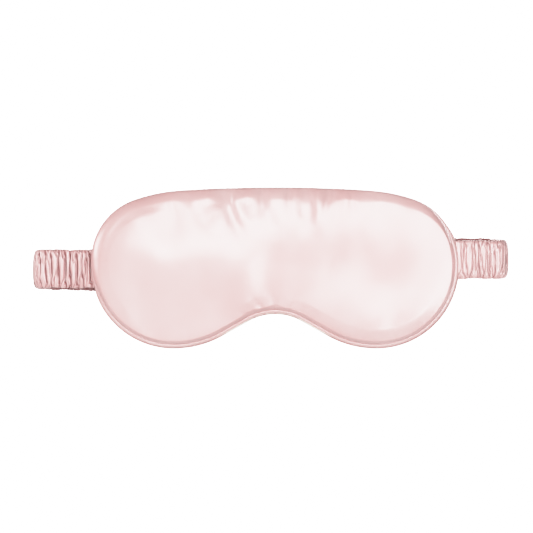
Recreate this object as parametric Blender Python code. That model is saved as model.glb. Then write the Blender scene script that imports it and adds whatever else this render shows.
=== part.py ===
"""Padded satin sleep eye mask with a gathered elastic strap.

Metres, +Z towards the wearer's brow, the front of the mask faces -Y.
The origin is the middle of the back panel, on the plane that lies against the face.
"""
from math import cos, pi, radians, sin

import bmesh
import bpy
import numpy as np

# ---- driving dimensions of the padded mask -------------------------------------------------
EDGE_TOP = 0.0472          # highest point of the outline, on the centre line
ARCS = (                   # half outline from the top centre, clockwise: radius, turn in degrees
    (0.850, 3.7),          # nearly straight brow
    (0.104, 15.5),         # temple
    (0.0374, 54.5),        # shoulder
    (0.0486, 106.3),       # outer side and cheek
)
LOBE_RADIUS = 0.0590       # from the cheek in towards the nose
NOSE_SLOPE = 29.4          # degrees, the straight edge beside the nose
NOSE_RADIUS = 0.0310       # arch over the bridge of the nose
CENTRE = (0.0, 0.008)      # x, z that the panels are measured round

SEAM_Y = -0.0050           # plane of the edge seam
GAP = 0.0003               # clearance between neighbouring pieces
SATIN = 0.0006             # doubled satin, with its seam allowance
LINING = 0.0005            # blackout cloth
FRONT_CROWN = 0.0066       # how far the front swells beyond its seam
BACK_CROWN = 0.0036        # the same for the back
FRONT_RIM_Y = SEAM_Y - 0.0009
BACK_RIM_Y = SEAM_Y + 0.0014
PANEL_INSET = 0.0036       # panel rims, in from the outer edge
LINING_INSET = 0.0045
WADDING_INSET = 0.0090     # wadding is trimmed clear of the seam

PIPING_RADIUS = 0.0013
PIPING_WALL = 0.00045
CORD_RADIUS = 0.00055
PIPING_SLIT = 28           # degrees each side of the slit where the cover turns into the seam
THREAD_INSET = 0.0031
THREAD_THICKNESS = 0.0004
THREAD_HEIGHT = 0.0018

# ---- driving dimensions of the strap -------------------------------------------------------
STRAP_WIDTH = 0.0230
STRAP_THICKNESS = 0.0042   # loosely gathered tube round the elastic
STRAP_WALL = 0.0005
SEWN_THICKNESS = 0.0012    # pressed flat where it enters the seam
SEWN_LENGTH = 0.0070       # length over which it fills out again
STRAP_FRONT_Y = -0.0034    # front face of the side runs, just behind the piping
STRAP_X = 0.1054           # where the side runs start
TURN_X = (-0.1330, 0.1278)  # centres of the two turns, left and right
TURN_RADIUS = 0.0062       # centre line of the turns
SIDE_Z = (-0.0004, 0.0049)  # height of the side runs' centre lines, left and right
BACK_Z = (-0.0012, 0.0056)  # height of the back run's ends, left and right
MIDDLE_X = -0.0026         # where the back run folds as the loop opens
MIDDLE_HALF = 0.0060       # half length of the stretch that bends there
ELASTIC_WIDTH = 0.0200
ELASTIC_THICKNESS = 0.0012
ELASTIC_START = 0.0035     # from the sewn end of the casing
TACK_THICKNESS = 0.0004
TACK_DEPTH = 0.0015

RUN_Y = STRAP_FRONT_Y + STRAP_THICKNESS / 2
TURN_Y = RUN_Y + TURN_RADIUS
BACK_Y = TURN_Y + TURN_RADIUS

# ---- materials: colour, roughness, metallic ------------------------------------------------
FINISHES = {
    "blush_satin": ((0.90, 0.72, 0.70), 0.35, 0.0),
    "back_satin": ((0.88, 0.70, 0.68), 0.40, 0.0),
    "piping_satin": ((0.88, 0.69, 0.67), 0.35, 0.0),
    "strap_satin": ((0.88, 0.68, 0.66), 0.35, 0.0),
    "wadding": ((0.93, 0.92, 0.90), 0.95, 0.0),
    "blackout_cloth": ((0.05, 0.05, 0.05), 0.90, 0.0),
    "cotton_cord": ((0.90, 0.87, 0.83), 0.85, 0.0),
    "thread": ((0.86, 0.66, 0.64), 0.55, 0.0),
    "elastic": ((0.92, 0.91, 0.89), 0.80, 0.0),
}


def clear_scene():
    for item in list(bpy.data.objects):
        bpy.data.objects.remove(item, do_unlink=True)


def make_material(name):
    colour, roughness, metallic = FINISHES[name]
    material = bpy.data.materials.new(name)
    material.use_nodes = True
    shader = material.node_tree.nodes["Principled BSDF"]
    shader.inputs["Base Color"].default_value = (*colour, 1.0)
    shader.inputs["Roughness"].default_value = roughness
    shader.inputs["Metallic"].default_value = metallic
    return material


def add_piece(name, points, faces, finish):
    """Make one closed mesh object; its faces are turned outward."""
    shape = bmesh.new()
    corners = [shape.verts.new(tuple(map(float, point))) for point in points]
    for face in faces:
        shape.faces.new([corners[index] for index in face])
    bmesh.ops.recalc_face_normals(shape, faces=shape.faces)
    mesh = bpy.data.meshes.new(name)
    shape.to_mesh(mesh)
    shape.free()
    mesh.shade_smooth()
    mesh.set_sharp_from_angle(angle=radians(40))
    piece = bpy.data.objects.new(name, mesh)
    piece.data.materials.append(MATERIALS[finish])
    bpy.context.scene.collection.objects.link(piece)
    return piece


# ---- the outline ---------------------------------------------------------------------------
def arc(start, heading, radius, turn, steps=24):
    """Points along an arc that turns clockwise (turn > 0) from a heading, in degrees."""
    side = 1 if turn > 0 else -1
    first = radians(heading)
    angles = first + np.radians(np.linspace(0, turn, steps + 1))[1:]
    x = start[0] + side * radius * (np.sin(angles * 1.0) - sin(first))
    z = start[1] + side * radius * (np.cos(angles) - cos(first))
    return list(zip(x, z))


def half_outline():
    """Right half of the mask's edge, from the top centre to the top of the nose arch."""
    points = [(0.0, EDGE_TOP)]
    heading = 0.0
    for radius, turn in ARCS + ((LOBE_RADIUS, NOSE_SLOPE),):
        points += arc(points[-1], heading, radius, turn)
        heading += turn
    slope = radians(NOSE_SLOPE)
    straight = (points[-1][0] - NOSE_RADIUS * sin(slope)) / cos(slope)
    last = points[-1]
    points.append((last[0] - straight * cos(slope), last[1] + straight * sin(slope)))
    points += arc(points[-1], heading, NOSE_RADIUS, -NOSE_SLOPE)
    return np.array(points)


def whole_outline():
    """Closed clockwise outline, seen from the front."""
    right = half_outline()
    left = right[-2:0:-1] * (-1, 1)
    return np.vstack([right, left])


def inset_radius(angle, inset):
    """Distance from CENTRE to the edge moved in by an inset, at polar angles."""
    ahead = np.roll(OUTLINE, -1, axis=0) - np.roll(OUTLINE, 1, axis=0)
    ahead /= np.linalg.norm(ahead, axis=1)[:, None]
    inward = np.column_stack([ahead[:, 1], -ahead[:, 0]])
    moved = OUTLINE + inset * inward - CENTRE
    around = np.arctan2(moved[:, 1], moved[:, 0])
    order = np.argsort(around)
    return np.interp(angle, around[order], np.hypot(*moved[order].T), period=2 * pi)


def even_angles(count):
    """Polar angles of points spaced evenly along the outline."""
    closed = np.vstack([OUTLINE, OUTLINE[:1]])
    length = np.r_[0, np.cumsum(np.hypot(*np.diff(closed, axis=0).T))]
    at = np.linspace(0, length[-1], count, endpoint=False)
    x = np.interp(at, length, closed[:, 0]) - CENTRE[0]
    z = np.interp(at, length, closed[:, 1]) - CENTRE[1]
    return np.arctan2(z, x)


# ---- the padded mask -----------------------------------------------------------------------
def crown(x, z, fullness):
    """0 at the panels' rims, 1 in the middle; a higher fullness has a flatter middle."""
    dx = x - CENTRE[0]
    dz = z - CENTRE[1]
    reach = inset_radius(np.arctan2(dz, dx), PANEL_INSET)
    share = np.clip(np.hypot(dx, dz) / reach, 0, 1)
    return (1 - share**fullness) ** 0.6


def front_face(x, z):
    return FRONT_RIM_Y - FRONT_CROWN * crown(x, z, 2.6)


def back_face(x, z):
    return BACK_RIM_Y + BACK_CROWN * crown(x, z, 5.0)


def layer(name, inset, front, back, finish, around=60, rings=5):
    """A sheet or pad between two surfaces y(x, z), with its rim at an inset from the edge."""
    angles = even_angles(around)
    reach = inset_radius(angles, inset)
    shares = np.sin(np.linspace(0, pi / 2, rings + 1))[1:]
    x = np.r_[0, np.outer(shares, reach * np.cos(angles)).ravel()] + CENTRE[0]
    z = np.r_[0, np.outer(shares, reach * np.sin(angles)).ravel()] + CENTRE[1]
    half = len(x)
    points = np.vstack([np.column_stack([x, face(x, z), z]) for face in (front, back)])
    faces = []
    for base in (0, half):
        for i in range(around):
            j = (i + 1) % around
            faces.append((base, base + 1 + i, base + 1 + j))
            for ring in range(rings - 1):
                inner = base + 1 + ring * around
                outer = inner + around
                faces.append((inner + i, outer + i, outer + j, inner + j))
    rim = 1 + (rings - 1) * around
    for i in range(around):
        j = (i + 1) % around
        faces.append((rim + i, rim + j, half + rim + j, half + rim + i))
    return add_piece(name, points, faces, finish)


def flat(height):
    """A surface function that is flat at y = height."""
    return lambda x, z: np.full_like(x, height)


def edge_ring(name, inset, profile, finish, around=84):
    """Carry a closed profile of (inward, y) points round the mask's edge."""
    angles = even_angles(around)
    rings = []
    for inward, y in profile:
        reach = inset_radius(angles, inset + inward)
        rings.append(np.column_stack([
            CENTRE[0] + reach * np.cos(angles),
            np.full(around, SEAM_Y + y),
            CENTRE[1] + reach * np.sin(angles),
        ]))
    points = np.vstack(rings)
    faces = []
    for k in range(len(profile)):
        this = k * around
        after = (k + 1) % len(profile) * around
        for i in range(around):
            j = (i + 1) % around
            faces.append((this + i, this + j, after + j, after + i))
    return add_piece(name, points, faces, finish)


def circle(radius, first, last, steps):
    angles = np.radians(np.linspace(first, last, steps))
    return [(radius * cos(a), radius * sin(a)) for a in angles]


def build_mask():
    satin_front = front_face
    satin_back = back_face
    lining_front = SEAM_Y
    lining_back = SEAM_Y + LINING
    layer("front_panel", PANEL_INSET, satin_front,
          lambda x, z: satin_front(x, z) + SATIN, "blush_satin")
    layer("front_wadding", WADDING_INSET,
          lambda x, z: satin_front(x, z) + SATIN + GAP,
          flat(lining_front - GAP), "wadding", around=44, rings=4)
    layer("blackout_lining", LINING_INSET, flat(lining_front), flat(lining_back),
          "blackout_cloth", around=44, rings=2)
    layer("back_wadding", WADDING_INSET, flat(lining_back + GAP),
          lambda x, z: satin_back(x, z) - SATIN - GAP, "wadding", around=44, rings=4)
    layer("back_panel", PANEL_INSET, lambda x, z: satin_back(x, z) - SATIN,
          satin_back, "back_satin")

    inner = PIPING_RADIUS - PIPING_WALL
    cover = circle(PIPING_RADIUS, PIPING_SLIT, 360 - PIPING_SLIT, 10)
    cover += circle(inner, 360 - PIPING_SLIT, PIPING_SLIT, 8)
    edge_ring("piping_cover", PIPING_RADIUS, cover, "piping_satin")
    edge_ring("piping_cord", PIPING_RADIUS, circle(CORD_RADIUS, 0, 300, 6), "cotton_cord")
    half_wide = THREAD_THICKNESS / 2
    half_high = THREAD_HEIGHT / 2
    stitches = [(-half_wide, -half_high), (half_wide, -half_high),
                (half_wide, half_high), (-half_wide, half_high)]
    edge_ring("edge_seam_thread", THREAD_INSET, stitches, "thread")


# ---- the strap -----------------------------------------------------------------------------
def section(width, thickness, corner):
    """Flattened round section: (out of the band, across the band), with cut corners."""
    half = thickness / 2
    wide = width / 2
    cut = corner * half
    return [(-half, -wide + 2 * cut), (-half, wide - 2 * cut), (-0.4 * half, wide - 0.5 * cut),
            (0, wide), (0.4 * half, wide - 0.5 * cut), (half, wide - 2 * cut),
            (half, -wide + 2 * cut), (0.4 * half, -wide + 0.5 * cut), (0, -wide),
            (-0.4 * half, -wide + 0.5 * cut)]


def strap_stations(stations, width, thicknesses):
    """Rings of points: each station is (x, y, z, facing x, facing y) of the centre line."""
    rings = []
    for (x, y, z, face_x, face_y), thickness in zip(stations, thicknesses):
        for out, across in section(width, thickness, 0.9):
            rings.append((x + out * face_x, y + out * face_y, z + across))
    return rings


def tube(name, stations, thicknesses, finish):
    """The gathered casing along its stations: a flat tube, open at both ends."""
    outer = strap_stations(stations, STRAP_WIDTH, thicknesses)
    inside = [thickness - 2 * STRAP_WALL for thickness in thicknesses]
    inner = strap_stations(stations, STRAP_WIDTH - 2 * STRAP_WALL, inside)
    sides = len(section(1, 0.1, 1))
    faces = []
    for start in (0, len(outer)):
        for k in range(len(stations) - 1):
            for i in range(sides):
                j = (i + 1) % sides
                a = start + k * sides
                faces.append((a + i, a + j, a + sides + j, a + sides + i))
    for end in (0, (len(stations) - 1) * sides):
        for i in range(sides):
            j = (i + 1) % sides
            a = end
            b = len(outer) + end
            faces.append((a + i, a + j, b + j, b + i))
    return add_piece(name, outer + inner, faces, finish)


def ribbon(name, stations, finish):
    """The woven elastic along its stations: a flat bar."""
    half = ELASTIC_THICKNESS / 2
    wide = ELASTIC_WIDTH / 2
    corners = [(-half, -wide), (-half, wide), (half, wide), (half, -wide)]
    points = []
    for x, y, z, face_x, face_y in stations:
        for out, across in corners:
            points.append((x + out * face_x, y + out * face_y, z + across))
    faces = []
    for k in range(len(stations) - 1):
        for i in range(4):
            j = (i + 1) % 4
            a = 4 * k
            faces.append((a + i, a + j, a + 4 + j, a + 4 + i))
    last = 4 * (len(stations) - 1)
    faces.append((0, 1, 2, 3))
    faces.append((last, last + 1, last + 2, last + 3))
    return add_piece(name, points, faces, finish)


def side_stations(side, start):
    """Straight run from the seam to the turn; side is -1 on the left and 1 on the right."""
    which = 0 if side < 0 else 1
    far = abs(TURN_X[which]) - GAP / 2
    reach = [start, start + SEWN_LENGTH * 0.5, start + SEWN_LENGTH, far]
    filled = [SEWN_THICKNESS + (STRAP_THICKNESS - SEWN_THICKNESS)
              * min(1, (x - STRAP_X) / SEWN_LENGTH) for x in reach]
    stations = [(side * x, STRAP_FRONT_Y + t / 2, SIDE_Z[which], 0, -1)
                for x, t in zip(reach, filled)]
    return stations, filled


def turn_stations(side, steps=9):
    """Half circle from the side run round to the back run."""
    which = 0 if side < 0 else 1
    margin = GAP / 2 / TURN_RADIUS
    stations = []
    for share in np.linspace(0, 1, steps):
        angle = margin + share * (pi - 2 * margin)
        height = SIDE_Z[which] + share * (BACK_Z[which] - SIDE_Z[which])
        stations.append((
            TURN_X[which] + side * TURN_RADIUS * sin(angle),
            TURN_Y - TURN_RADIUS * cos(angle),
            height,
            side * sin(angle),
            -cos(angle),
        ))
    return stations


def back_height(x):
    return float(np.interp(x, TURN_X, BACK_Z))


def back_stations(first, last, steps=3):
    return [(x, BACK_Y, back_height(x), 0, 1) for x in np.linspace(first, last, steps)]


def build_strap():
    half_gap = GAP / 2
    full = STRAP_THICKNESS
    for side, label in ((-1, "left"), (1, "right")):
        which = 0 if side < 0 else 1
        stations, filled = side_stations(side, STRAP_X)
        tube(f"casing_{label}_side", stations, filled, "strap_satin")
        begin = STRAP_X + ELASTIC_START
        far = abs(TURN_X[which]) - half_gap
        run = [(side * x, RUN_Y, SIDE_Z[which], 0, -1)
               for x in (begin + SEWN_LENGTH / 2, far)]
        ribbon(f"elastic_{label}_side", run, "elastic")

        turn = turn_stations(side)
        tube(f"casing_{label}_turn", turn, [full] * len(turn), "strap_satin")
        ribbon(f"elastic_{label}_turn", turn, "elastic")

        outer_x = TURN_X[which] - side * half_gap
        inner_x = MIDDLE_X + side * (MIDDLE_HALF + half_gap)
        back = back_stations(outer_x, inner_x)
        tube(f"casing_{label}_back", back, [full] * len(back), "strap_satin")
        ribbon(f"elastic_{label}_back", back, "elastic")

        tack = bpy_box(
            (side * (STRAP_X - GAP - TACK_THICKNESS), side * (STRAP_X - GAP)),
            (STRAP_FRONT_Y, STRAP_FRONT_Y + TACK_DEPTH),
            (SIDE_Z[which] - ELASTIC_WIDTH / 2, SIDE_Z[which] + ELASTIC_WIDTH / 2),
        )
        add_piece(f"{label}_strap_tack", *tack, "thread")

    middle = back_stations(MIDDLE_X - MIDDLE_HALF + half_gap, MIDDLE_X + MIDDLE_HALF - half_gap)
    tube("casing_back_middle", middle, [full] * len(middle), "strap_satin")
    ribbon("elastic_back_middle", middle, "elastic")


def bpy_box(xs, ys, zs):
    points = [(x, y, z) for x in xs for y in ys for z in zs]
    faces = [(0, 1, 3, 2), (4, 5, 7, 6), (0, 1, 5, 4), (2, 3, 7, 6), (0, 2, 6, 4), (1, 3, 7, 5)]
    return points, faces


clear_scene()
MATERIALS = {name: make_material(name) for name in FINISHES}
OUTLINE = whole_outline()
build_mask()
build_strap()
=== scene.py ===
"""Padded satin sleep eye mask with a gathered elastic strap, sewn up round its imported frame."""
from math import pi, radians

import bpy
import numpy as np
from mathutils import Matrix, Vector


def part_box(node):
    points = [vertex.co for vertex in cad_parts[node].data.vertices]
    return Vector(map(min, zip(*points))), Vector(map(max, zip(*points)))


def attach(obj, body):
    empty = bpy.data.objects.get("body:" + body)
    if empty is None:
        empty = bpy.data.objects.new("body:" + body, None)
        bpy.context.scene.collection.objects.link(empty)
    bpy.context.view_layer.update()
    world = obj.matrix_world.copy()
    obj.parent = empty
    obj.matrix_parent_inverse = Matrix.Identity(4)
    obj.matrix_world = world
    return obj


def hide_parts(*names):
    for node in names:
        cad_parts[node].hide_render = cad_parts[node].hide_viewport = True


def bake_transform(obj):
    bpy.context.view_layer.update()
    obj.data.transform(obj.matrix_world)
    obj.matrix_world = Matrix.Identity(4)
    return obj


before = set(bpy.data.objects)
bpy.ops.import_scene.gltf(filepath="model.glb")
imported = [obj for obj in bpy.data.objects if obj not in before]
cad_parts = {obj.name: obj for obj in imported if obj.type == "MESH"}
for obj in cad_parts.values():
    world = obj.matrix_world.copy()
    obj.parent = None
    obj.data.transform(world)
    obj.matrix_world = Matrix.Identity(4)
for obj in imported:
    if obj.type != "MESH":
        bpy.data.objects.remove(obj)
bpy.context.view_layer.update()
scene = bpy.context.scene

# ---- studio --------------------------------------------------------------------------------
# A long lens looks straight at the front of the mask. Soft lights stand above it, to its left
# and low on its right; the floor lies well below it, and the surround is white.
MASK_LOW, MASK_HIGH = (np.array(corner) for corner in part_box("piping_cover"))
MASK_WIDTH = MASK_HIGH[0] - MASK_LOW[0]
FRAME_WIDTH = 1.4444 * MASK_WIDTH      # what the picture spans at the mask's edge
CAMERA_AWAY = 2.4
AIM_X = -0.0050                        # the mask hangs a little right of the picture's middle
AIM_Z = 0.0009

eye = bpy.data.cameras.new("studio_camera")
eye.sensor_width = 36
eye.lens = eye.sensor_width * (CAMERA_AWAY + MASK_LOW[1]) / FRAME_WIDTH
eye.clip_end = 20
camera = bpy.data.objects.new("studio_camera", eye)
camera.location = (AIM_X, -CAMERA_AWAY, AIM_Z)
camera.rotation_euler = (radians(90), 0, 0)
scene.collection.objects.link(camera)
scene.camera = camera
scene.view_settings.view_transform = "Standard"

# Light above 1 isn't cut off: all of it is scaled down, and the tone curve brings it back
# with a soft shoulder, so that pale satin keeps its shape in the highlights.
LIGHT_SPAN = 2.8                       # the light that comes out white
SHOULDER = ((0.55, 0.55), (0.80, 0.76), (1.10, 0.89), (1.60, 0.96))  # light in, tone out
tones = scene.view_settings.curve_mapping
for light_in, tone_out in SHOULDER:
    tones.curves[3].points.new(light_in / LIGHT_SPAN, tone_out)
tones.update()
scene.view_settings.use_curve_mapping = True


def soft_light(name, place, aim, size, power):
    """An area light at place, turned to face aim, that the camera doesn't see."""
    lamp = bpy.data.lights.new(name, "AREA")
    lamp.shape = "RECTANGLE"
    lamp.size, lamp.size_y = size
    lamp.energy = power / LIGHT_SPAN
    light = bpy.data.objects.new(name, lamp)
    light.location = place
    light.rotation_euler = (Vector(aim) - Vector(place)).to_track_quat("-Z", "Y").to_euler()
    light.visible_camera = False
    scene.collection.objects.link(light)
    return light


soft_light("front_softbox", (0.06, -1.5, 0.34), (0, 0, 0), (1.2, 0.45), 11.6)
soft_light("left_softbox", (-1.5, -0.5, 0.35), (0, 0, 0), (0.7, 0.6), 9)
soft_light("right_softbox", (0.62, -1.35, -0.22), (0, 0, 0), (0.5, 0.5), 8.2)
soft_light("brow_strip", (0.3, -0.5, 1.3), (0, 0, 0), (1.2, 0.5), 1.0)
soft_light("back_softbox", (0.5, 1.6, 0.5), (0, 0, 0), (1.4, 1.0), 22)

surround = bpy.data.worlds.new("studio_surround")
surround.use_nodes = True
links = surround.node_tree.links
nodes = surround.node_tree.nodes
nodes.clear()
white = nodes.new("ShaderNodeBackground")
white.inputs["Color"].default_value = (1, 1, 1, 1)
fill = nodes.new("ShaderNodeBackground")
fill.inputs["Color"].default_value = (1.0, 0.96, 0.95, 1)
fill.inputs["Strength"].default_value = 0.34 / LIGHT_SPAN
seen = nodes.new("ShaderNodeLightPath")
choose = nodes.new("ShaderNodeMixShader")
out = nodes.new("ShaderNodeOutputWorld")
links.new(seen.outputs["Is Camera Ray"], choose.inputs["Fac"])
links.new(fill.outputs[0], choose.inputs[1])
links.new(white.outputs[0], choose.inputs[2])
links.new(choose.outputs[0], out.inputs["Surface"])
scene.world = surround

FLOOR_RADIUS = 1.50
FLOOR_Z = -0.26
FLOOR_SIDES = 64
around = np.linspace(0, 2 * pi, FLOOR_SIDES, endpoint=False)
rim = np.column_stack([FLOOR_RADIUS * np.cos(around), FLOOR_RADIUS * np.sin(around),
                       np.full(FLOOR_SIDES, FLOOR_Z)])
floor_mesh = bpy.data.meshes.new("studio_floor")
floor_mesh.from_pydata(rim.tolist(), [], [list(range(FLOOR_SIDES))])
floor = bpy.data.objects.new("studio_floor", floor_mesh)
pale = bpy.data.materials.new("pale_floor")
pale.use_nodes = True
pale_shader = pale.node_tree.nodes["Principled BSDF"]
pale_shader.inputs["Base Color"].default_value = (0.9, 0.9, 0.9, 1)
pale_shader.inputs["Roughness"].default_value = 0.9
floor_mesh.materials.append(pale)
scene.collection.objects.link(floor)

# ---- front panel ---------------------------------------------------------------------------
# Blush satin cut to the mask's outline and swollen by the wadding behind it. It is sewn all
# round its edge, so it puckers along the brow and at the nose arch.
EDGE_TOP = MASK_HIGH[2]
ARCS = ((0.850, 3.7), (0.104, 15.5), (0.0374, 54.5), (0.0486, 106.3))  # radius, turn in degrees
LOBE_RADIUS = 0.0590       # from the cheek in towards the nose
NOSE_SLOPE = 29.4          # degrees, the straight edge beside the nose
NOSE_RADIUS = 0.0310       # arch over the bridge of the nose
SEAM_Y = (MASK_LOW[1] + MASK_HIGH[1]) / 2
PIPING_RADIUS = (MASK_HIGH[1] - MASK_LOW[1]) / 2
FRONT_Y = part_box("front_panel")[0][1]
BACK_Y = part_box("back_panel")[1][1]


def arc(start, heading, radius, turn, steps=40):
    """Points on an arc from start: the heading turns clockwise by turn degrees as it goes."""
    side = np.sign(turn)
    first = radians(heading)
    angles = first + np.radians(np.linspace(0, turn, steps + 1))[1:]
    return np.column_stack([start[0] + side * radius * (np.sin(angles) - np.sin(first)),
                            start[1] + side * radius * (np.cos(angles) - np.cos(first))])


def edge_line(inset, count, first=0.0, last=1.0):
    """Points evenly along the mask's edge moved in by inset, clockwise from the top centre.

    The half edge is the chain of arcs, a straight run at the nose slope and the nose arch, and
    the other half is its mirror. Each point is moved along the edge's inward normal. first and
    last are shares of the whole way round.
    """
    half = np.array([[0.0, EDGE_TOP]])
    heading = 0.0
    for radius, turn in ARCS + ((LOBE_RADIUS, NOSE_SLOPE),):
        half = np.vstack([half, arc(half[-1], heading, radius, turn)])
        heading += turn
    slope = radians(NOSE_SLOPE)
    run = (half[-1, 0] - NOSE_RADIUS * np.sin(slope)) / np.cos(slope)
    share = np.linspace(0, 1, 12)[1:, None]
    straight = half[-1] + share * run * np.array([-np.cos(slope), np.sin(slope)])
    half = np.vstack([half, straight])
    half = np.vstack([half, arc(half[-1], heading, NOSE_RADIUS, -NOSE_SLOPE)])
    whole = np.vstack([half, half[-2::-1] * (-1, 1)])
    ahead = np.gradient(whole, axis=0)
    ahead[0] = ahead[-1] = (1, 0)
    ahead /= np.linalg.norm(ahead, axis=1)[:, None]
    moved = whole + inset * np.column_stack([ahead[:, 1], -ahead[:, 0]])
    length = np.r_[0, np.cumsum(np.hypot(*np.diff(whole, axis=0).T))]
    at = np.linspace(first, last, count) % 1.0 * length[-1]
    at[np.linspace(first, last, count) == 1.0] = length[-1]
    return np.column_stack([np.interp(at, length, moved[:, 0]),
                            np.interp(at, length, moved[:, 1])])


TEMPLE_CORNER, CHEEK_CORNER = 0.205, 0.352  # shares of the way round, on the right side
CLOSER_ACROSS, CLOSER_UP = 0.09, 0.10       # how much columns and rows crowd to the edge


def panel_plan(inset, wide, high):
    """A grid (high, wide, 2) of x, z inside the edge, spread between its four sides.

    The edge is cut at four places into a top, right, bottom and left side. A point is the
    blend of its two opposite sides, both ways, less the blend of the four corners. Rows and
    columns lie closer together near the edge, where the satin turns over.
    """
    bottom = edge_line(inset, wide, CHEEK_CORNER, 1 - CHEEK_CORNER)[::-1]
    right = edge_line(inset, high, TEMPLE_CORNER, CHEEK_CORNER)[::-1]
    left = edge_line(inset, high, 1 - CHEEK_CORNER, 1 - TEMPLE_CORNER)
    top = np.vstack([edge_line(inset, wide // 2 + 1, 1 - TEMPLE_CORNER, 1.0)[:-1],
                     edge_line(inset, wide - wide // 2, 0.0, TEMPLE_CORNER)])
    u, v = np.linspace(0, 1, wide), np.linspace(0, 1, high)
    u_at = u - CLOSER_ACROSS * np.sin(2 * pi * u)
    v_at = v - CLOSER_UP * np.sin(2 * pi * v)
    bottom, top = (np.column_stack([np.interp(u_at, u, side[:, k]) for k in (0, 1)])
                   for side in (bottom, top))
    left, right = (np.column_stack([np.interp(v_at, v, side[:, k]) for k in (0, 1)])
                   for side in (left, right))
    u, v = u_at[None, :, None], v_at[:, None, None]
    sides = ((1 - v) * bottom[None] + v * top[None]
             + (1 - u) * left[:, None] + u * right[:, None])
    corners = ((1 - u) * (1 - v) * bottom[0] + u * (1 - v) * bottom[-1]
               + (1 - u) * v * top[0] + u * v * top[-1])
    return sides - corners


EDGE_STEPS = 480
EDGE_LENGTH = np.linalg.norm(np.diff(edge_line(0, 721), axis=0), axis=1).sum()


def edge_distance(x, z, inset):
    """How far in from the edge each point is, its place round the edge, and the way outward.

    The nearest of many edge points is found first. The distance and the place are then the
    parts of the step from it that run across and along the edge.
    """
    rim = edge_line(inset, EDGE_STEPS + 1)[:-1]
    ahead = np.roll(rim, -1, 0) - np.roll(rim, 1, 0)
    ahead /= np.linalg.norm(ahead, axis=1)[:, None]
    outward = np.column_stack([-ahead[:, 1], ahead[:, 0]])
    nearest = np.array([
        np.hypot(row_x[:, None] - rim[:, 0], row_z[:, None] - rim[:, 1]).argmin(1)
        for row_x, row_z in zip(x, z)])
    step = np.stack([x, z], -1) - rim[nearest]
    distance = np.maximum(-(step * outward[nearest]).sum(-1), 0)
    along = nearest / EDGE_STEPS + (step * ahead[nearest]).sum(-1) / EDGE_LENGTH
    return distance, along % 1.0, outward[nearest]


BROW_ENDS = (0.215, 0.285)  # shares of the way round, on the right side and on the left
BROW_CHANGE = 0.07


def brow_share(along):
    """1 along the brow, 0 round the cheeks and the nose, and a smooth step at the temples.

    The brow side reaches further down on the left, where x is below 0.
    """
    from_top = np.abs((along + 0.5) % 1.0 - 0.5)
    reach = np.where(along > 0.5, BROW_ENDS[1], BROW_ENDS[0])
    share = np.clip((reach - from_top) / BROW_CHANGE, 0, 1)
    return share * share * (3 - 2 * share)


def near_place(along, place):
    """Signed length round the edge from a place, which is a share of the way round."""
    return ((along - place + 0.5) % 1.0 - 0.5) * EDGE_LENGTH


def grid_faces(rows, columns, turn=False):
    """Quads of a rows x columns grid of points."""
    at = np.arange(rows * columns).reshape(rows, columns)
    quads = np.stack([at[:-1, :-1], at[:-1, 1:], at[1:, 1:], at[1:, :-1]], -1).reshape(-1, 4)
    return quads[:, ::-1] if turn else quads


def new_piece(name, points, faces):
    """A smooth mesh object of these points and faces, linked to the scene."""
    mesh = bpy.data.meshes.new(name)
    mesh.from_pydata(np.asarray(points, float).reshape(-1, 3).tolist(), [],
                     [list(map(int, face)) for face in faces])
    mesh.shade_smooth()
    piece = bpy.data.objects.new(name, mesh)
    scene.collection.objects.link(piece)
    return piece


def swell(points, turn, pressure, extra=0.03, steps=25):
    """Blow a panel sewn down all round up as cloth, and return how far each point moved.

    points is a grid. Its rim stays sewn, and the cloth between is cut larger than its outline
    by the share extra and pushed along its normals.
    """
    rows, columns = points.shape[:2]
    piece = new_piece("cloth_under_pressure", points, grid_faces(rows, columns, turn))
    rim = np.ones((rows, columns), bool)
    rim[1:-1, 1:-1] = False
    group = piece.vertex_groups.new(name="sewn")
    group.add(np.flatnonzero(rim).tolist(), 1.0, "REPLACE")
    cloth = piece.modifiers.new("swell", "CLOTH")
    setting = cloth.settings
    setting.quality = 6
    setting.mass = 0.3
    setting.tension_stiffness = 15
    setting.compression_stiffness = 15
    setting.shear_stiffness = 4
    setting.bending_stiffness = 0.1
    setting.vertex_group_mass = "sewn"
    setting.shrink_min = -extra
    setting.use_pressure = True
    setting.uniform_pressure_force = pressure
    setting.effector_weights.gravity = 0
    cloth.collision_settings.use_collision = False
    cloth.point_cache.frame_start = 1
    cloth.point_cache.frame_end = steps
    for number in range(1, steps + 1):
        scene.frame_set(number)
    shaped = piece.evaluated_get(bpy.context.evaluated_depsgraph_get())
    swollen = np.empty(rows * columns * 3)
    shaped.data.vertices.foreach_get("co", swollen)
    scene.frame_set(1)
    bpy.data.objects.remove(piece)
    return swollen.reshape(rows, columns, 3) - points


def evened(field, times):
    """A grid averaged with its neighbours, both ways, so many times; its rim stays as it is."""
    for _ in range(times):
        inner = (field[:-2] + 2 * field[1:-1] + field[2:]) / 4
        field = np.concatenate([field[:1], inner, field[-1:]])
        inner = (field[:, :-2] + 2 * field[:, 1:-1] + field[:, 2:]) / 4
        field = np.concatenate([field[:, :1], inner, field[:, -1:]], 1)
    return field


def between(field):
    """A grid with a new row and column halfway between each two."""
    halfway = (field[1:] + field[:-1]) / 2
    tall = np.empty((2 * len(field) - 1, *field.shape[1:]))
    tall[::2], tall[1::2] = field, halfway
    halfway = (tall[:, 1:] + tall[:, :-1]) / 2
    wide = np.empty((len(tall), 2 * field.shape[1] - 1, *field.shape[2:]))
    wide[:, ::2], wide[:, 1::2] = tall, halfway
    return wide


CREASE_START = 0.002       # a crease reaches its depth this far from the seam


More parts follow.
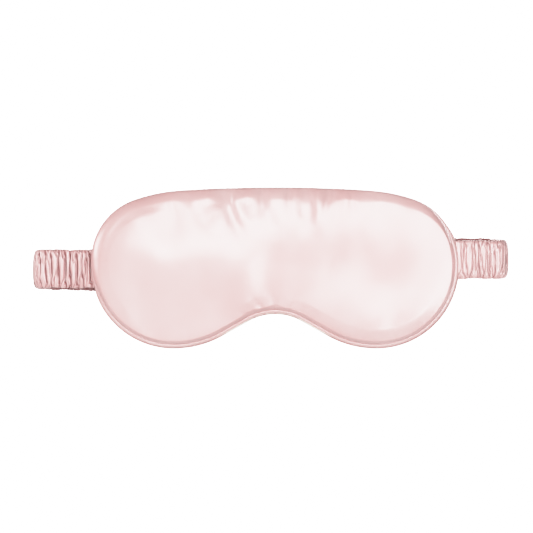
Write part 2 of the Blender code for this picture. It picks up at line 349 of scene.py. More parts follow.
def crease(along, distance, places, reach, width, depth):
    """Depth of short creases that run in from the seam at places round the edge.

    places holds each one's place round the edge, its strength and how it leans. It is a bell-
    shaped groove whose width grows and whose depth fades with the distance from the seam.
    """
    total = np.zeros_like(along)
    for place, strength, lean in places:
        off = near_place(along, place) - lean * distance
        spread = width * (0.5 + distance / reach)
        total += strength * np.exp(-(off / spread) ** 2)
    faded = np.clip(distance / CREASE_START, 0, 1) * np.exp(-(distance / reach) ** 2)
    return depth * total * faded


def slow_waves(x, z, seed, across, down, count=9):
    """Smooth uneven swelling: a sum of long sine waves in seeded directions.

    across and down are about how far apart its swells are in x and in z.
    """
    chance = np.random.default_rng(seed)
    total = np.zeros_like(x)
    for _ in range(count):
        way = chance.uniform(0, 2 * pi)
        pitch = chance.uniform(0.7, 1.6)
        shift = chance.uniform(0, 2 * pi)
        total += np.sin((x / across * np.cos(way) + z / down * np.sin(way)) * 2 * pi / pitch
                        + shift)
    return total / count


def lumps(x, z, places):
    """Rounded swellings where the wadding is fuller: a bell of its own width at each place."""
    return sum(height * np.exp(-((x - at_x) / wide) ** 2 - ((z - at_z) / high) ** 2)
               for at_x, at_z, wide, high, height in places)


PANEL_WIDE, PANEL_HIGH = 112, 56   # points of the cloth's grid, then made twice as fine
PANEL_INSET = 0.0026               # the seam, in from the mask's edge
ROLL_BROW, ROLL_CHEEK = 0.0036, 0.0020  # width of the turned edge
ROLL_SHARE = 0.88          # of the rise over the seam that the turned edge takes
ROLL_POWER = 1.35          # 1 turns over in part of a circle, more in a flatter bevel
TUCK_POWER = 1.1           # a tuck's flanks, 1 for straight ones
CROWN_REACH = 0.027        # how far in the crown goes on climbing
CROWN_POWER = 2.2          # how early it levels out
BROW_TUCKS = (             # place round the edge, how far the turned edge dips, half width
    (0.945, 0.0066, 0.0080), (0.985, 0.0042, 0.0060), (0.013, 0.0026, 0.0050),
    (0.034, 0.0040, 0.0060), (0.058, 0.0030, 0.0060), (0.905, 0.0012, 0.0100),
    (0.100, 0.0014, 0.0100), (0.500, 0.0016, 0.0040), (0.524, 0.0010, 0.0060),
)
BROW_PUCKERS = (           # place round the edge, strength, lean
    (0.948, 1.0, 0.25), (0.987, 0.9, -0.1), (0.014, 0.8, 0.0), (0.035, 0.8, 0.2),
    (0.058, 0.9, -0.2), (0.082, 0.6, 0.1), (0.966, 0.45, 0.3), (0.920, 0.3, 0.1),
    (0.110, 0.3, -0.1), (0.885, 0.25, 0.2),
)
NOSE_PUCKERS = ((0.500, 1.0, 0.1), (0.489, 0.7, -0.3), (0.511, 0.7, 0.4), (0.530, 0.3, 0.2),
                (0.462, 0.3, -0.2))
SIDE_PUCKERS = ((0.24, 0.3, 0.2), (0.29, 0.35, -0.2), (0.76, 0.35, 0.1), (0.72, 0.3, -0.1),
                (0.36, 0.25, 0.2), (0.41, 0.3, 0.1), (0.60, 0.3, -0.1), (0.65, 0.3, 0.2))
DRAG_FOLDS = ((0.940, 1.0, 0.45), (0.952, -0.7, 0.42), (0.985, 0.6, 0.30), (0.030, 0.8, 0.12),
              (0.045, -0.6, 0.10), (0.070, 0.6, -0.15), (0.905, 0.4, 0.50), (0.120, 0.4, -0.2))
PUCKERS = (                # and how far in each kind reaches, how wide and how deep it is
    (BROW_PUCKERS, (0.0125, 0.0019, 0.0014)), (NOSE_PUCKERS, (0.0080, 0.0012, 0.0008)),
    (SIDE_PUCKERS, (0.0080, 0.0018, 0.0004)),
)
DRAG_SIZE = (0.0360, 0.0040, 0.0009)
DRAG_END, DRAG_FADE = 0.029, 0.012  # where the drag folds end, and over how far they fade
EVEN_ROUNDS, EVEN_SHARE = 60, 0.92  # the cloth's even swelling, which the crown already has
SMOOTH_ROUNDS = 12         # of evening for its wrinkles
SWELL_MOST = np.array([0.00015, 0.00060, 0.00015])  # how far they may go along x, y, z
CALM_LOW, CALM_RISE = 0.002, 0.026  # height where the wrinkles start, and their full height
CALM_LEFT = 0.06           # of the wrinkles below that
CALM_FROM, CALM_OVER = 0.030, 0.030  # from the middle out, where they fade to the sides
CALM_SIDES = 0.8           # of the wrinkles that are gone there
SWELL_INNER = 0.009        # how far in the slow swellings reach their full height
BROAD_WAVES = (0.040, 0.075, 0.00125)  # about how far apart in x and in z, and how high
CLOSE_WAVES = (0.016, 0.036, 0.00060)
WADDING_NEAR = 0.0005      # how far the satin may sink before the wadding holds it
WADDING_SOFT = 5e-7        # square metres; the larger, the more gently it is held
SEAM_DEEPER, SEAM_REACH = 0.004, 0.003  # it may sink further close to the seam
PAINTED_SHADE_REACH = 0.0013       # how far in from the seam the painted shade reaches


def padded_panel(name, seam_y, crown_y, turned_out, filling, seed, pressure):
    """One satin panel: a turned edge and a crown over the outline, swelled as cloth, creased.

    The edge turns over in part of a circle, which is wider where the satin is tucked and
    stands out over the piping by turned_out. The crown climbs from it and levels out. On it
    lie the cloth's own fine wrinkles, less its even swelling and held to a little, then slow
    waves, fuller places and creases. Where all of these would sink the satin further than
    WADDING_NEAR, the sum eases off, as the wadding behind holds it. Its painted seam shade
    attribute fades from 1 at the seam.
    """
    plan = panel_plan(PANEL_INSET, 2 * PANEL_WIDE - 1, 2 * PANEL_HIGH - 1)
    x, z = plan[..., 0], plan[..., 1]
    distance, along, outward = edge_distance(x, z, PANEL_INSET)
    rise = abs(crown_y - seam_y)
    side = np.sign(crown_y - seam_y)
    width = ROLL_CHEEK + (ROLL_BROW - ROLL_CHEEK) * brow_share(along)
    for place, deeper, half in BROW_TUCKS:
        width += deeper * (
            np.clip(1 - np.abs(near_place(along, place)) / half, 0, 1) ** TUCK_POWER)
    out = turned_out(along)
    first = np.arccos(width / (width + out))
    share = np.clip(distance / width, 0, 1)
    angle = -first + (pi / 2 + first) * share
    up = np.maximum(np.sin(angle), 0) ** ROLL_POWER + np.minimum(np.sin(angle), 0)
    over = np.where(angle > 0, np.maximum(np.cos(angle), 0) ** ROLL_POWER, np.cos(angle))
    inset = width - (width + out) * over
    moved_out = np.where(distance < width, distance - inset, 0)
    high = ROLL_SHARE * rise * (up + np.sin(first)) / (1 + np.sin(first))
    level = np.clip(distance / CROWN_REACH, 0, 1)
    high += (1 - ROLL_SHARE) * rise * (1 - (1 - level) ** CROWN_POWER)
    points = np.stack([x + moved_out * outward[..., 0], seam_y + side * high,
                       z + moved_out * outward[..., 1]], -1)
    relief = np.zeros_like(x)
    moved = between(swell(points[::2, ::2], side > 0, pressure))
    moved = evened(moved - EVEN_SHARE * evened(moved, EVEN_ROUNDS), SMOOTH_ROUNDS)
    risen = np.clip((z - CALM_LOW) / CALM_RISE, 0, 1)[..., None]
    wrinkled = CALM_LEFT + (1 - CALM_LEFT) * risen
    beside = np.clip((np.abs(x) - CALM_FROM) / CALM_OVER, 0, 1)[..., None]
    wrinkled *= 1 - CALM_SIDES * beside
    moved = wrinkled * SWELL_MOST * np.tanh(moved / SWELL_MOST)
    points[..., [0, 2]] += moved[..., [0, 2]]
    relief += side * moved[..., 1]
    inner = np.clip(distance / SWELL_INNER, 0, 1)
    inner *= inner * (3 - 2 * inner)
    for more, (across, down, height) in enumerate((BROAD_WAVES, CLOSE_WAVES)):
        relief += inner * height * slow_waves(x, z, seed + more, across, down)
    relief += inner * lumps(x, z, filling)
    for places, (reach, wide, deep) in PUCKERS:
        relief -= crease(along, distance, places, reach, wide, deep)
    far_in = np.clip((DRAG_END - distance) / DRAG_FADE, 0, 1)
    relief -= far_in * crease(along, distance, DRAG_FOLDS, *DRAG_SIZE)
    spare = relief + WADDING_NEAR + SEAM_DEEPER * np.exp(-distance / SEAM_REACH)
    relief += (np.sqrt(spare ** 2 + WADDING_SOFT) - spare) / 2
    points[..., 1] += side * relief
    piece = new_piece(name, points, grid_faces(*points.shape[:2], turn=side > 0))
    # Painted shade: the satin is coloured deeper towards the seam, where it turns into the ditch.
    painted_seam_shade = piece.data.attributes.new("seam_painted_shade", "FLOAT", "POINT")
    painted_shade = np.exp(-distance / PAINTED_SHADE_REACH)
    painted_seam_shade.data.foreach_set("value", painted_shade.ravel().astype(np.float32))
    return piece


OVERHANG = PANEL_INSET - 0.0001


def over_the_brow(along):
    """How far the front satin stands out over the piping: past it at the brow, not below."""
    return OVERHANG * brow_share(along)


FRONT_SEAM = SEAM_Y - 0.0004
FRONT_TOP = FRONT_Y - 0.0002
FRONT_FILLING = (          # x, z, width, height, how much fuller
    (-0.054, 0.004, 0.046, 0.022, 0.0036), (-0.038, 0.004, 0.006, 0.013, 0.0004),
    (0.060, -0.033, 0.046, 0.022, 0.0020), (-0.090, 0.012, 0.012, 0.014, 0.0005),
    (0.012, 0.018, 0.030, 0.014, 0.0006), (0.080, 0.010, 0.022, 0.016, 0.0005),
)
front = padded_panel("front_satin", FRONT_SEAM, FRONT_TOP, over_the_brow, FRONT_FILLING,
                     seed=3, pressure=20)
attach(front, "mask")
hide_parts("front_panel")


def new_material(name, colour, roughness, sheen, coat, level):
    """A cloth material with its fixed values on the shader's own sockets; also its shader."""
    material = bpy.data.materials.new(name)
    material.use_nodes = True
    shader = material.node_tree.nodes["Principled BSDF"]
    shader.inputs["Base Color"].default_value = (*colour, 1)
    shader.inputs["Roughness"].default_value = roughness
    shader.inputs["Sheen Weight"].default_value = sheen
    shader.inputs["Coat Weight"].default_value = coat
    shader.inputs["Coat Roughness"].default_value = 0.30
    shader.inputs["Coat IOR"].default_value = 1.7
    shader.inputs["Specular IOR Level"].default_value = level
    return material, shader


def weave_group():
    """Satin weave: fine long floats across the cloth with slubs, as a height and a mask.

    Two wave textures at right angles give the warp and weft; a stretched noise makes the
    uneven yarns that catch the light.
    """
    group = bpy.data.node_groups.new("satin_weave", "ShaderNodeTree")
    put = group.interface.new_socket
    put("Vector", in_out="INPUT", socket_type="NodeSocketVector")
    put("Pitch", in_out="INPUT", socket_type="NodeSocketFloat").default_value = 1000
    put("Height", in_out="OUTPUT", socket_type="NodeSocketFloat")
    put("Slub", in_out="OUTPUT", socket_type="NodeSocketFloat")
    node = group.nodes.new
    link = group.links.new
    enter = node("NodeGroupInput")
    leave = node("NodeGroupOutput")
    scale = node("ShaderNodeVectorMath")
    scale.operation = "SCALE"
    link(enter.outputs["Vector"], scale.inputs[0])
    link(enter.outputs["Pitch"], scale.inputs["Scale"])
    warp = node("ShaderNodeTexWave")
    warp.bands_direction = "X"
    warp.inputs["Scale"].default_value = 1.0
    warp.inputs["Distortion"].default_value = 0.4
    link(scale.outputs[0], warp.inputs["Vector"])
    weft = node("ShaderNodeTexWave")
    weft.bands_direction = "Z"
    weft.inputs["Scale"].default_value = 0.45
    weft.inputs["Distortion"].default_value = 0.6
    link(scale.outputs[0], weft.inputs["Vector"])
    stretch = node("ShaderNodeMapping")
    stretch.inputs["Scale"].default_value = (90, 90, 700)
    link(enter.outputs["Vector"], stretch.inputs["Vector"])
    slub = node("ShaderNodeTexNoise")
    slub.inputs["Scale"].default_value = 1.0
    slub.inputs["Detail"].default_value = 2.0
    link(stretch.outputs[0], slub.inputs["Vector"])
    height = node("ShaderNodeMath")
    height.operation = "MULTIPLY_ADD"
    height.inputs[1].default_value = 0.6
    link(warp.outputs["Fac"], height.inputs[0])
    link(weft.outputs["Fac"], height.inputs[2])
    link(height.outputs[0], leave.inputs["Height"])
    link(slub.outputs["Fac"], leave.inputs["Slub"])
    return group


WEAVE = weave_group()
WEAVE_PITCH, WEAVE_HEIGHT = 1500, 0.00002


def satin(name, pale, deep, roughness=0.42, painted_shade="seam_painted_shade"):
    """Glossy satin: pale cloth, with painted shade where it folds into a seam, and a fine weave.

    The painted shade attribute that the last argument names, plus a soft cloudy variation of
    tone, mixes pale into deep, the colour of the painted shade. The slubs of the weave vary the
    roughness, and its threads are a slight bump.
    """
    material, shader = new_material(name, pale, roughness, sheen=0.06, coat=1.0, level=1.0)
    node = material.node_tree.nodes.new
    link = material.node_tree.links.new
    where = node("ShaderNodeTexCoord")
    weave = node("ShaderNodeGroup")
    weave.node_tree = WEAVE
    weave.inputs["Pitch"].default_value = WEAVE_PITCH
    link(where.outputs["Object"], weave.inputs["Vector"])
    painted_shade_attribute = node("ShaderNodeAttribute")
    painted_shade_attribute.attribute_name = painted_shade
    cloud = node("ShaderNodeTexNoise")
    cloud.inputs["Scale"].default_value = 22
    cloud.inputs["Detail"].default_value = 2
    link(where.outputs["Object"], cloud.inputs["Vector"])
    vary = node("ShaderNodeMapRange")
    vary.inputs["From Min"].default_value = 0.3
    vary.inputs["From Max"].default_value = 0.7
    vary.inputs["To Min"].default_value = -0.10
    vary.inputs["To Max"].default_value = 0.22
    link(cloud.outputs["Fac"], vary.inputs["Value"])
    depth = node("ShaderNodeMath")
    depth.use_clamp = True
    link(painted_shade_attribute.outputs["Fac"], depth.inputs[0])
    link(vary.outputs[0], depth.inputs[1])
    tone = node("ShaderNodeMix")
    tone.data_type = "RGBA"
    tone.inputs["A"].default_value = (*pale, 1)
    tone.inputs["B"].default_value = (*deep, 1)
    link(depth.outputs[0], tone.inputs["Factor"])
    link(tone.outputs["Result"], shader.inputs["Base Color"])
    rough = node("ShaderNodeMapRange")
    rough.inputs["To Min"].default_value = roughness - 0.05
    rough.inputs["To Max"].default_value = roughness + 0.07
    link(weave.outputs["Slub"], rough.inputs["Value"])
    link(rough.outputs[0], shader.inputs["Roughness"])
    raised = node("ShaderNodeBump")
    raised.inputs["Strength"].default_value = 0.32
    raised.inputs["Distance"].default_value = WEAVE_HEIGHT
    link(weave.outputs["Height"], raised.inputs["Height"])
    link(raised.outputs[0], shader.inputs["Normal"])
    return material


BLUSH = (0.75, 0.510, 0.503)
# The colour of the painted shade at the seams and in the piping's ditches; a little of it also
# mottles the cloth at random.
BLUSH_PAINTED_SHADE_AND_MOTTLE = (0.58, 0.19, 0.18)
front.data.materials.append(satin("blush_satin", BLUSH, BLUSH_PAINTED_SHADE_AND_MOTTLE))

# ---- back panel ----------------------------------------------------------------------------
# The same satin on the side that lies against the face. It has less wadding, so it is flatter,
# and it stands out past the piping where the front satin doesn't.


def under_the_cheeks(along):
    """How far the back satin stands out past the piping: a little round the lower lobes."""
    return OVERHANG * (1 - brow_share(along))


BACK_SEAM = SEAM_Y + 0.0006
BACK_TOP = BACK_Y + 0.0003
BACK_FILLING = ((-0.050, 0.002, 0.034, 0.022, 0.0004), (0.052, 0.000, 0.034, 0.022, 0.0004))
back = padded_panel("back_satin", BACK_SEAM, BACK_TOP, under_the_cheeks, BACK_FILLING,
                    seed=11, pressure=12)
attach(back, "mask")
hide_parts("back_panel")
back.data.materials.append(satin("back_satin", BLUSH, BLUSH_PAINTED_SHADE_AND_MOTTLE))

# ---- piping --------------------------------------------------------------------------------
# A bias strip of the satin wrapped round a cotton cord and caught in the edge seam. It has
# painted shade, a deeper colour, where it turns in between the front satin and the back satin.
PIPING_AROUND, PIPING_SIDES = 1100, 18
PIPING_TUCK = 0.0009       # how much deeper it lies round the lower lobes
RIPPLE, RIPPLES, RIPPLE_GROUPS = 0.05, 160, 7
# Painted shade in the ditches on both sides of the cord: its strength and how sharply it gathers
# there.
DITCH_PAINTED_SHADE, DITCH_POWER = 0.8, 5


def edge_tube(name, inset, radius, around_count, sides):
    """A round cord along the mask's edge: a circle carried along the edge at an inset.

    It lies deeper by PIPING_TUCK round the lower lobes, where the back satin bulges past it.
    Small sine ripples in groups swell and slim it, as gathered bias cloth does. Its painted
    shade, for the ditches beside it, is a power of how far each point faces in or out along the
    mask.
    """
    line = edge_line(inset, around_count + 1)[:-1]
    out = line - edge_line(inset + 0.001, around_count + 1)[:-1]
    out /= np.linalg.norm(out, axis=1)[:, None]
    along = np.arange(around_count)[:, None] / around_count
    line -= out * PIPING_TUCK * (1 - brow_share(along))
    way = np.linspace(0, 2 * pi, around_count, endpoint=False)[:, None]
    turn = np.linspace(0, 2 * pi, sides, endpoint=False)[None]
    wave = np.sin(RIPPLES * way + 2 * turn) * np.sin(RIPPLE_GROUPS * way + 1)
    size = radius * (1 + RIPPLE * wave)
    x = line[:, :1] + size * np.cos(turn) * out[:, :1]
    z = line[:, 1:] + size * np.cos(turn) * out[:, 1:]
    y = SEAM_Y + size * np.sin(turn) + 0 * x
    at = np.arange(around_count * sides).reshape(around_count, sides)
    after = np.roll(at, -1, 0)
    quads = np.stack([at, np.roll(at, -1, 1), np.roll(after, -1, 1), after], -1)
    piece = new_piece(name, np.stack([x, y, z], -1), quads.reshape(-1, 4))
    # Painted shade, deep on the cord's inner and outer sides, in the ditches beside it.
    painted_ditch_shade = piece.data.attributes.new("seam_painted_shade", "FLOAT", "POINT")
    painted_shade = DITCH_PAINTED_SHADE * np.abs(np.cos(turn)) ** DITCH_POWER + 0 * x
    painted_ditch_shade.data.foreach_set("value", painted_shade.ravel().astype(np.float32))
    return piece


piping = edge_tube("piping_satin", PIPING_RADIUS, PIPING_RADIUS, PIPING_AROUND, PIPING_SIDES)
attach(piping, "mask")
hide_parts("piping_cover")
piping.data.materials.append(satin("piping_satin", BLUSH, BLUSH_PAINTED_SHADE_AND_MOTTLE, 0.36))

# ---- strap casing --------------------------------------------------------------------------
# A tube of satin gathered over a shorter elastic, so it ruches into crosswise pleats that fork
# and run together. It is sewn into both side seams and folds back behind the mask as one loop.
SIDE_LOW, SIDE_HIGH = (np.array(corner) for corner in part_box("casing_left_side"))
LEFT_LOW, LEFT_HIGH = (np.array(corner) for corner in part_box("casing_left_turn"))
RIGHT_HIGH = np.array(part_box("casing_right_turn")[1])
STRAP_WIDTH = SIDE_HIGH[2] - SIDE_LOW[2]
STRAP_THICK = SIDE_HIGH[1] - SIDE_LOW[1]
RUN_Y = (SIDE_LOW[1] + SIDE_HIGH[1]) / 2
TURN_RADIUS = (LEFT_HIGH[1] - LEFT_LOW[1] - STRAP_THICK) / 2
TURN_Y = RUN_Y + TURN_RADIUS
LEFT_TURN_X = LEFT_LOW[0] + TURN_RADIUS + STRAP_THICK / 2
RIGHT_TURN_X = RIGHT_HIGH[0] - TURN_RADIUS - STRAP_THICK / 2
LEFT_Z, LEFT_BACK_Z = -0.0003, -0.0014    # height of the side run and of the back run there
RIGHT_Z, RIGHT_BACK_Z = 0.0048, 0.0060
SEAM_X = 0.1042            # where both ends enter the side seams
SEWN_THICK = 0.0013        # pressed flat in the seam
SEWN_LENGTH = 0.0060       # length over which it fills out again
LEFT_RUN = -LEFT_TURN_X - SEAM_X
RIGHT_RUN = RIGHT_TURN_X - SEAM_X
TURN_RUN = pi * TURN_RADIUS
BACK_RUN = RIGHT_TURN_X - LEFT_TURN_X
STOPS = np.cumsum([0, LEFT_RUN, TURN_RUN, BACK_RUN, TURN_RUN, RIGHT_RUN])
STRAP_LENGTH = STOPS[-1]
SLIP = 0.0013              # how much the back run slips down, or up, where the mask hides it
BEHIND_EDGE = 0.034        # how far from each turn it has slipped that far


def strap_line(s):
    """The strap's centre line at lengths s from the left seam: x, y, z, facing x, facing y.

    Two straight side runs and a straight back run, joined by half circles. The strap faces out
    of the loop, so it faces forward on the side runs and backward behind the mask.
    """
    left_turn = np.clip((s - STOPS[1]) / TURN_RADIUS, 0, pi)
    right_turn = np.clip((s - STOPS[3]) / TURN_RADIUS, 0, pi)
    turned = left_turn + right_turn
    x = (-SEAM_X - np.clip(s, -1, LEFT_RUN) + np.clip(s - STOPS[2], 0, BACK_RUN)
         - TURN_RADIUS * np.sin(left_turn) + TURN_RADIUS * np.sin(right_turn)
         - np.clip(s - STOPS[4], 0, 1))
    y = TURN_Y - TURN_RADIUS * np.cos(turned)
    dip = STOPS[2] + BEHIND_EDGE
    crest = STOPS[3] - BEHIND_EDGE
    z = np.interp(s, (0, STOPS[1], STOPS[2], dip, crest, STOPS[3], STOPS[4], STRAP_LENGTH),
                  (LEFT_Z, LEFT_Z, LEFT_BACK_Z, LEFT_BACK_Z - SLIP, RIGHT_BACK_Z + SLIP / 2,
                   RIGHT_BACK_Z, RIGHT_Z, RIGHT_Z))
    return x, y, z, -np.sin(left_turn) + np.sin(right_turn), -np.cos(turned)


def strap_fill(s):
    """Thickness along the strap: pressed flat at both seams, full a few millimetres out."""
    reach = np.clip(np.minimum(s, STRAP_LENGTH - s) / SEWN_LENGTH, 0, 1)
    return SEWN_THICK + (STRAP_THICK - SEWN_THICK) * reach * reach * (3 - 2 * reach)


# Valleys between pleats, as lengths from the nearer seam; the rest are seeded.
LEFT_PLEATS = (0.0039, 0.0058, 0.0085, 0.0115, 0.0154, 0.0180, 0.0221, 0.0266, 0.0295, 0.0323,
               0.0346)
RIGHT_PLEATS = (0.0045, 0.0077, 0.0112, 0.0152, 0.0187, 0.0216, 0.0243, 0.0264, 0.0286)
PLEAT_LEAST, PLEAT_MOST = 0.0018, 0.0036
chance = np.random.default_rng(21)
spread = np.cumsum(chance.uniform(PLEAT_LEAST, PLEAT_MOST, 160)) + LEFT_PLEATS[-1]
spread = spread[spread < STRAP_LENGTH - RIGHT_PLEATS[-1] - PLEAT_LEAST]
PLEATS = np.r_[0, LEFT_PLEATS, spread,
               STRAP_LENGTH - np.array(RIGHT_PLEATS)[::-1], STRAP_LENGTH]
PLEAT_DEPTH = chance.uniform(0.55, 1.0, len(PLEATS))
# Pleats are deeper on the left side run and shallower on the right; the painted valley shade
# grows with their depth, so the left run is painted darker.
PLEAT_DEPTH *= np.where(PLEATS < STOPS[2], 1.45, np.where(PLEATS > STOPS[3], 0.62, 1.0))
PLEAT_LEAN = 0.0007 * chance.uniform(-1, 1, len(PLEATS))
PLEAT_SKEW = chance.uniform(0.6, 1.6, len(PLEATS))
FORK_EDGE = chance.choice((-1.0, 1.0), len(PLEATS))
FORK_START = chance.uniform(-0.2, 0.65, len(PLEATS))
FORK_DEPTH = chance.uniform(0.2, 0.9, len(PLEATS))
WANDERS = ((0.00030, 4.6, 900), (0.00020, 9, 1700))  # metres, turn across, turn each metre
LEAN_MORE = 1.2
RIDGE_POWER = 0.6          # 1 is a half wave, less is a fuller ridge
FORK_REACH = 0.55          # how far over the pleat a fork runs
FORK_WIDTH = 0.006         # square of a fork's width, in shares of a pleat
TWIN_DEPTH, TWIN_BEND = 0.55, 0.18
FINE_DEPTH, FINE_TURN = 0.10, 9000
PULL = 0.00195             # how far in the deepest valley lies
EDGE_PULL = 0.40           # of that, how much the band's edges draw in
EDGE_DIP, EDGE_WAVE = 0.00025, 0.00025
SQUARE_UP, SQUARE_OUT = 0.60, 0.62  # 1 is an oval section, less is squarer
PLEAT_ROLL = 0.00035       # how far a ridge rolls over along the strap
TURN_PUFF = 0.0010         # how much fuller the satin stands outside each turn
PRESSED = 0.045            # how far from its turns the back run lies close behind the side runs and gets painted shade
PRESSED_IN, PRESSED_OUT = 0.004, 0.010   # lengths over which that painted shade begins and ends
KEPT_END = 0.002           # length at each seam where the pleats don't shift the cloth
# Painted shade in the pleat valleys: its strength and how fast it grows with their depth.
VALLEY_PAINTED_SHADE, VALLEY_POWER = 2.9, 1.4


def casing_surface(s, turn):
    """The gathered tube at lengths s (rows) and angles turn round its section (columns).

    The section is a flattened oval. Between two valleys the satin rises in a rounded ridge
    that leans to one side. On each ridge a second valley starts at the band's upper or lower
    edge and runs into the valley beside it, as a fork, and a shallower twin valley winds along
    its middle. Fine wrinkles lie over all of them, and the edges wave a little.
    Returns the points and the depth of their painted shade, 0 to 1: deep in the valleys, and on
    the inner face where the back run is pressed between the mask and the side runs.
    """
    s = s[:, None]
    across, out = np.cos(turn)[None], np.sin(turn)[None]
    lean = np.interp(s, PLEATS, PLEAT_LEAN)
    wander = sum(far * np.sin(bend * across + s * rate) for far, bend, rate in WANDERS)
    count = np.interp(s - LEAN_MORE * lean * across - wander, PLEATS, np.arange(len(PLEATS)))
    pleat = np.clip(count.astype(int), 0, len(PLEATS) - 2)
    part = count - pleat
    ridge = np.sin(pi * np.clip(part, 0, 1) ** PLEAT_SKEW[pleat]) ** RIDGE_POWER
    deep = PLEAT_DEPTH[pleat] * (1 - part) + PLEAT_DEPTH[pleat + 1] * part
    valley = deep * (1 - ridge)
    start = FORK_START[pleat]
    opened = np.clip((across * FORK_EDGE[pleat] - start) / (1 - start), 0, 1)
    fork = FORK_DEPTH[pleat] * np.sqrt(opened) * np.exp(
        -(part - FORK_REACH * opened) ** 2 / FORK_WIDTH)
    twin = part - 0.5 - TWIN_BEND * np.sin(3 * across + 7 * FORK_START[pleat])
    second = TWIN_DEPTH * FORK_DEPTH[pleat - 1] * np.exp(-twin ** 2 / FORK_WIDTH)
    fine = FINE_DEPTH * np.sin(
        s * FINE_TURN + 5 * across + 3 * np.sin(s * 700 + 4 * across))
    depth = np.clip(np.maximum(np.maximum(valley, fork), second) + fine * ridge, 0, 1.2)
    fill = strap_fill(s)
    loose = np.clip(fill / STRAP_THICK, 0.45, 1)
    pull = PULL * depth * loose
    wide = STRAP_WIDTH / 2 - EDGE_PULL * pull - EDGE_DIP * np.sin(s * 300) ** 2
    wave = EDGE_WAVE * np.sin(s * 260 + 1.3) * np.sin(s * 97)
    up = np.sign(across) * np.abs(across) ** SQUARE_UP * wide + wave
    turned = (np.clip((s - STOPS[1]) * (STOPS[2] - s), 0, None)
              + np.clip((s - STOPS[3]) * (STOPS[4] - s), 0, None)) * 4 / TURN_RUN ** 2
    thick = np.sign(out) * np.abs(out) ** SQUARE_OUT * (fill / 2 - pull * np.abs(out) ** 0.5)
    thick += TURN_PUFF * turned * np.clip(out, 0, 1)
    kept = np.clip(np.minimum(s, STRAP_LENGTH - s) / KEPT_END, 0, 1)
    rolled = PLEAT_ROLL * np.sin(2 * pi * part) * loose * kept
    x, y, z, face_x, face_y = strap_line(s - rolled)
    ends = (STRAP_THICK - fill) / 2
    points = np.stack([x + thick * face_x, y - ends + thick * face_y, z + up], -1)
    # Where the back run lies pressed behind the side runs: the share of painted shade on its
    # inner face.
    pressed_painted_shade = (np.clip((s - STOPS[2]) / PRESSED_IN, 0, 1)
              * np.clip((STOPS[2] + PRESSED - s) / PRESSED_OUT, 0, 1)
              + np.clip((STOPS[3] - s) / PRESSED_IN, 0, 1)
              * np.clip((s - STOPS[3] + PRESSED) / PRESSED_OUT, 0, 1))
    # Painted shade: deeper in the pleat valleys, and on the back run's inner face where it lies
    # pressed behind the side runs.
    painted_shade = VALLEY_PAINTED_SHADE * depth ** VALLEY_POWER + pressed_painted_shade * np.clip(0.5 - out, 0, 1)
    return points, np.clip(painted_shade, 0, 1)


def tube_piece(name, surface, first, last, step, sides):
    """One length of a strap's tube or band from its surface, with both ends closed."""
    s = np.linspace(first, last, int(round((last - first) / step)) + 1)
    turn = np.linspace(0, 2 * pi, sides, endpoint=False)
    points, depth = surface(s, turn)
    rows = len(s)
    at = np.arange(rows * sides).reshape(rows, sides)
    beside = np.roll(at, -1, 1)
    quads = np.stack([at[:-1], beside[:-1], beside[1:], at[1:]], -1).reshape(-1, 4)
    middles = points[[0, -1]].mean(1)
    caps = [np.column_stack([beside[0], at[0], np.full(sides, rows * sides)]),
            np.column_stack([at[-1], beside[-1], np.full(sides, rows * sides + 1)])]
    faces = quads.tolist() + caps[0].tolist() + caps[1].tolist()
    piece = new_piece(name, np.vstack([points.reshape(-1, 3), middles]), faces)
    sharp = np.zeros(len(faces), bool)
    sharp[len(quads):] = True
    piece.data.polygons.foreach_set("use_smooth", ~sharp)
    # The painted shade goes on as a point attribute; the centres of the end caps get half of it.
    painted_shade_attribute = piece.data.attributes.new("fold_painted_shade", "FLOAT", "POINT")
    painted_shade_attribute.data.foreach_set("value", np.r_[depth.ravel(), 0.5, 0.5].astype(np.float32))
    return piece


def follow(piece, stretch):
    """Bake one length of the strap in place, or attach it to the right side's body.

    The stretch at the right seam is attached; every other one is baked where it lies.
    """
    if stretch == "left_seam":
        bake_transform(piece)
    elif stretch == "left_turn":
        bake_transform(piece)
    elif stretch == "back":
        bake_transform(piece)
    elif stretch == "right_turn":
        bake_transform(piece)
    else:
        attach(piece, "right_side")


# The strap is shown in five stretches, cut near each seam and a little past each turn.
# The strap is shown in five stretches, so that no stretch bends at more than one joint.
LEFT_CUT, RIGHT_CUT, BACK_CUT = 0.0154, 0.0152, 0.022
CUTS = (0.0, LEFT_CUT, STOPS[2] + BACK_CUT, STOPS[3] - BACK_CUT, STRAP_LENGTH - RIGHT_CUT,
        STRAP_LENGTH)
STRETCHES = (
    ("left_seam", ("left_side",)),
    ("left_turn", ("left_turn",)),
    ("back", ("left_back", "back_middle", "right_back")),
    ("right_turn", ("right_turn",)),
    ("right_seam", ("right_side",)),
)
STRAP_BLUSH = (0.80, 0.52, 0.51)
# The colour of the painted shade in the strap's pleat valleys and on its pressed inner face; a
# little of it also mottles the cloth at random.
STRAP_PAINTED_SHADE_AND_MOTTLE = (0.33, 0.07, 0.07)
CASING_STEP, CASING_SIDES = 0.00022, 72
strap_satin = satin("strap_satin", STRAP_BLUSH, STRAP_PAINTED_SHADE_AND_MOTTLE, 0.30, painted_shade="fold_painted_shade")
for (stretch, stands_for), first, last in zip(STRETCHES, CUTS[:-1], CUTS[1:]):
    casing = tube_piece(f"casing_satin_{stretch}", casing_surface, first, last, CASING_STEP,
                        CASING_SIDES)
    casing.data.materials.append(strap_satin)
    follow(casing, stretch)
    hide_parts(*(f"casing_{part}" for part in stands_for))

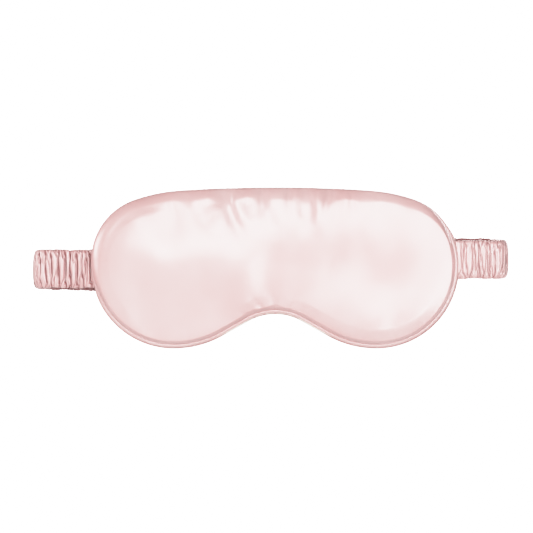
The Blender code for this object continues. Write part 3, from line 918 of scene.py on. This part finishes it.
# ---- elastic -------------------------------------------------------------------------------
# A flat woven band inside the casing, sewn down at both ends with it.
BAND_LOW, BAND_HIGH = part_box("elastic_left_side")
ELASTIC_WIDTH = BAND_HIGH[2] - BAND_LOW[2]
ELASTIC_THICK = BAND_HIGH[1] - BAND_LOW[1]
ELASTIC_END = 0.003        # how far short of the casing's ends it stops
RIB_HEIGHT, RIB_PITCH = 0.00008, 0.0012
ELASTIC_STEP, ELASTIC_SIDES = 0.0006, 16


def elastic_surface(s, turn):
    """A flat ribbed band: a flattened oval with sine ribs, carried along the strap's line."""
    s = s[:, None]
    across, out = np.cos(turn)[None], np.sin(turn)[None]
    rib = RIB_HEIGHT * np.sin(s * 2 * pi / RIB_PITCH)
    up = np.sign(across) * np.abs(across) ** 0.5 * ELASTIC_WIDTH / 2 + 0 * s
    flat = np.clip(strap_fill(s) / STRAP_THICK, 0.3, 1)
    thick = np.sign(out) * np.abs(out) ** 0.5 * (ELASTIC_THICK / 2 * flat - 0.0001 + rib)
    x, y, z, face_x, face_y = strap_line(s)
    ends = (STRAP_THICK - strap_fill(s)) / 2
    points = np.stack([x + thick * face_x, y - ends + thick * face_y, z + up], -1)
    return points, np.zeros(points.shape[:2])


elastic_cloth = satin("woven_elastic", (0.86, 0.82, 0.79), (0.70, 0.62, 0.60), 0.7,
                      painted_shade="fold_painted_shade")
for (stretch, stands_for), first, last in zip(STRETCHES, CUTS[:-1], CUTS[1:]):
    band = tube_piece(f"elastic_band_{stretch}", elastic_surface, max(first, ELASTIC_END),
                      min(last, STRAP_LENGTH - ELASTIC_END), ELASTIC_STEP, ELASTIC_SIDES)
    band.data.materials.append(elastic_cloth)
    follow(band, stretch)
    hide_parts(*(f"elastic_{part}" for part in stands_for))

# ---- inner layers --------------------------------------------------------------------------
# Wadding, blackout cloth, piping cord and thread keep their modelled shapes inside the satin.
INNER = {
    "front_wadding": ((0.85, 0.84, 0.81), (0.72, 0.70, 0.67), 0.95),
    "back_wadding": ((0.85, 0.84, 0.81), (0.72, 0.70, 0.67), 0.95),
    "blackout_lining": ((0.03, 0.03, 0.03), (0.01, 0.01, 0.01), 0.9),
    "piping_cord": ((0.80, 0.75, 0.68), (0.60, 0.54, 0.47), 0.85),
    "edge_seam_thread": (BLUSH, BLUSH_PAINTED_SHADE_AND_MOTTLE, 0.55),
    "left_strap_tack": (BLUSH, BLUSH_PAINTED_SHADE_AND_MOTTLE, 0.55),
    "right_strap_tack": (BLUSH, BLUSH_PAINTED_SHADE_AND_MOTTLE, 0.55),
}
for part, (pale_tone, deep_tone, roughness) in INNER.items():
    finish = satin(f"{part}_cloth", pale_tone, deep_tone, roughness)
    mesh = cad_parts[part].data
    mesh.materials.clear()
    mesh.materials.append(finish)
